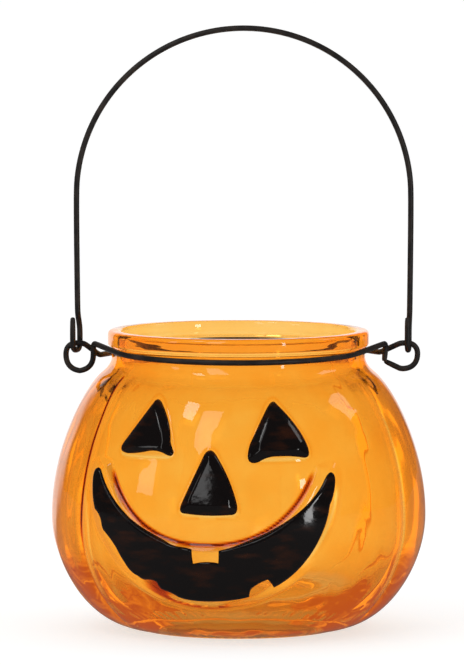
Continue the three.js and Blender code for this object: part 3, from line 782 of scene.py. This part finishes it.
CLEAR = (1, 0.98, 0.95)
amber_outside = stained_glass(
    "amber_outside", foot=(1, 0.76, 0.45), body=(1, 0.43, 0.04), neck=(1, 0.41, 0.042), waves=1)
clear_inside = stained_glass(
    "clear_inside", foot=CLEAR, body=CLEAR, neck=(1, 0.8, 0.46), waves=0.75)
jar.data.materials.append(amber_outside)
jar.data.materials.append(clear_inside)
centre = places_of(mesh.polygons, "center")
ring = np.hypot(centre[:, 0], centre[:, 1])
middle_r = np.interp(centre[:, 2], bowl_z, bowl_r) - WALL / 2
hollow = (ring < middle_r) & (centre[:, 2] > FLOOR_SPLIT_Z)
hollow |= (ring < NECK_SPLIT_R) & (centre[:, 2] > NECK_Z)
mesh.polygons.foreach_set("material_index", hollow.astype(int))
mesh.update()
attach(jar, "jar")
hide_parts("glass_jar")


# Enamel: a glossy black coat brushed by hand on each raised part of the face. It
# runs over the slopes of the glass, a little past them in places, and it leaves
# three teeth of the mouth bare.
COAT_T = 0.95 * MM
COAT_BORDER = 0.7 * MM
COAT_SEAT = 0.13 * MM
COAT_GRID = 0.55 * MM
EDGE_LIFT = 2 * MM
EDGE_MARGIN = 0.2 * MM
GRID_MARGIN = 0.25 * MM
GRID_TO_EDGE = 0.3 * MM
STROKE_TURN = math.radians(35)
STROKE_HEIGHT = 0.5


def two_tone(tree, value, low, dark, high, light):
    """One colour below a value, another above a higher one, and a mix between."""
    node = tree.nodes.new("ShaderNodeValToRGB")
    for stop, position, colour in zip(node.color_ramp.elements, (low, high), (dark, light)):
        stop.position = position
        stop.color = colour
    tree.links.new(value, node.inputs["Fac"])
    return node.outputs["Color"]


black_enamel, tree, shader = new_material("black_enamel")
shader.inputs["IOR"].default_value = 1.46
place = tree.nodes.new("ShaderNodeTexCoord").outputs["Object"]
along = stretched(tree, place, (1, 1, 3.2), turn=(0, STROKE_TURN, 0))
strokes = noise(tree, along, scale=110, detail=4)
thin_coat = two_tone(
    tree, strokes, low=0.52, dark=(0.0045, 0.003, 0.003, 1), high=0.78, light=(0.035, 0.009, 0.003, 1))
tree.links.new(thin_coat, shader.inputs["Base Color"])
gloss = carry_over(tree, strokes, *NOISE_RANGE, to_low=0.04, to_high=0.12)
tree.links.new(gloss, shader.inputs["Roughness"])
ripples = noise(tree, place, scale=260, detail=2)
flow = calculate(tree, "MULTIPLY_ADD", strokes, STROKE_HEIGHT, ripples)
dent(tree, shader, flow, strength=0.35, distance=0.1 * MM)


# Lines of points follow the rim and the slopes. Near a corner, a point that comes too close
# to the corner's other side is left out.
PROBE = 0.05 * MM
SLOPE_KEPT = 0.96
RIM_KEPT = 0.9
RIM_SHARES = (0.12, 0.35, 0.65, 1)
RIM_END = 1e-3
SAME_POINT = 1e-5
COAT_WELD = 0.001 * MM


def inward_of(border):
    """The direction across a closed border at each of its points, towards its inside."""
    step = np.roll(border, -1, axis=0) - np.roll(border, 1, axis=0)
    inward = np.column_stack([-step[:, 1], step[:, 0]])
    inward /= np.linalg.norm(inward, axis=1)[:, None]
    if depth_inside(border + inward * PROBE, border).mean() < 0:
        inward = -inward
    return inward


def coat(name, node, curves):
    """A closed coat over one raised part: top and underside meet along the outline."""
    border = outline(curves)
    low, high = border.min(0), border.max(0)
    columns = np.arange(low[0], high[0], COAT_GRID)
    rows = np.arange(low[1], high[1], COAT_GRID)
    grid = np.stack(np.meshgrid(columns, rows), -1).reshape(-1, 2)
    edges = []
    for pad in PADS:
        base = outline(pad)
        width = bevel_width(base, base[:, 1] + EDGE_LIFT)
        for beside in (-BEVEL_ROUND, 0, BEVEL_ROUND):
            reach = width + beside
            line = base + inward_of(base) * reach[:, None]
            edges.append(line[depth_inside(line, base) > reach * SLOPE_KEPT])
    edges = np.vstack(edges)
    edges = edges[depth_inside(edges, border) > COAT_BORDER + EDGE_MARGIN]
    grid = grid[depth_inside(grid, border) > COAT_BORDER + GRID_MARGIN]
    if len(edges):
        apart = np.linalg.norm(grid[:, None, :] - edges[None, :, :], axis=2).min(1)
        grid = grid[apart > GRID_TO_EDGE]
    points = [border, grid, edges]
    inward = inward_of(border)
    for reach in RIM_SHARES:
        line = border + inward * COAT_BORDER * reach
        points.append(line[depth_inside(line, border) > COAT_BORDER * reach * RIM_KEPT])
    loop = [(i, (i + 1) % len(border)) for i in range(len(border))]
    flat = [Vector(point) for point in np.vstack(points) / MM]
    flat, _, faces, _, _, _ = delaunay_2d_cdt(flat, loop, [], 1, SAME_POINT)
    across = np.array([tuple(v) for v in flat]) * MM
    share = np.clip(depth_inside(across, border) / COAT_BORDER, 0, 1)
    rim = share < RIM_END
    share[rim] = 0
    seat = relief(across) + COAT_SEAT
    body = np.interp(across[:, 1], bowl_z, bowl_r)

    def on_body(height):
        turn = np.arcsin(across[:, 0] / body) + math.radians(FACE_TURN)
        r = body + height
        return np.column_stack([r * np.sin(turn), -r * np.cos(turn), across[:, 1]])

    top = on_body(seat + (COAT_T - COAT_SEAT) * np.sqrt(1 - (1 - share) ** 2))
    under = on_body(seat)
    count = len(top)
    lower = np.where(rim, np.arange(count), count + np.arange(count))
    polygons = [tuple(face) for face in faces]
    polygons += [tuple(int(lower[i]) for i in reversed(face)) for face in faces]
    polygons = [face for face in polygons if len(set(face)) > 2]
    data = bpy.data.meshes.new(name)
    data.from_pydata([tuple(v) for v in np.vstack([top, under])], [], polygons)
    piece = bpy.data.objects.new(name, data)
    bpy.context.collection.objects.link(piece)
    choose(piece)
    bpy.ops.object.mode_set(mode="EDIT")
    bpy.ops.mesh.select_all(action="SELECT")
    bpy.ops.mesh.remove_doubles(threshold=COAT_WELD)
    bpy.ops.mesh.delete_loose()
    bpy.ops.mesh.select_all(action="SELECT")
    bpy.ops.mesh.normals_make_consistent(inside=False)
    bpy.ops.object.mode_set(mode="OBJECT")
    bpy.ops.object.shade_smooth_by_angle(angle=math.radians(60))
    piece.data.materials.append(black_enamel)
    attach(piece, "jar")
    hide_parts(node)


coat("left_eye_enamel", "left_eye", LEFT_EYE)
coat("right_eye_enamel", "right_eye", RIGHT_EYE)
coat("nose_enamel", "nose", NOSE)
coat("mouth_enamel", "mouth", MOUTH)


# Wires: mild steel wire 1.8 mm thick, bent cold and painted satin black. One goes
# round the neck under the lip and ends in an eye at each side; the other is the bail.
ROUNDING_LOSS = 0.081 * MM
WIRE_WELD = 0.01 * MM
QUAD_BEND = math.radians(60)

black_wire, tree, shader = new_material("black_wire")
place = tree.nodes.new("ShaderNodeTexCoord").outputs["Object"]
grime = noise(tree, place, scale=240, detail=5)
paint = two_tone(
    tree, grime, low=0.4, dark=(0.012, 0.0095, 0.009, 1), high=0.72, light=(0.04, 0.027, 0.02, 1))
tree.links.new(paint, shader.inputs["Base Color"])
tree.links.new(carry_over(tree, grime, to_low=0.3, to_high=0.55), shader.inputs["Roughness"])
grain = noise(tree, place, scale=1600, detail=3)
dent(tree, shader, grain, strength=0.3, distance=0.1 * MM)


def round_wire(name, node, body):
    """The solid's wire with its eight flats rounded off."""
    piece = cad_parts[node].copy()
    piece.data = piece.data.copy()
    piece.name = name
    piece.parent = None
    bpy.context.collection.objects.link(piece)
    choose(piece)
    bpy.ops.object.mode_set(mode="EDIT")
    bpy.ops.mesh.select_all(action="SELECT")
    bpy.ops.mesh.remove_doubles(threshold=WIRE_WELD)
    bpy.ops.mesh.tris_convert_to_quads(face_threshold=QUAD_BEND, shape_threshold=QUAD_BEND)
    bpy.ops.mesh.select_all(action="SELECT")
    bpy.ops.transform.shrink_fatten(value=ROUNDING_LOSS)
    bpy.ops.object.mode_set(mode="OBJECT")
    rounding = piece.modifiers.new("round", "SUBSURF")
    rounding.levels = rounding.render_levels = 2
    bpy.ops.object.modifier_apply(modifier="round")
    bpy.ops.object.shade_smooth_by_angle(angle=math.radians(40))
    piece.data.materials.clear()
    piece.data.materials.append(black_wire)
    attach(piece, body)
    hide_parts(node)


round_wire("neck_wire_round", "neck_wire", "neck_wire")
round_wire("bail_round", "bail_handle", "bail")
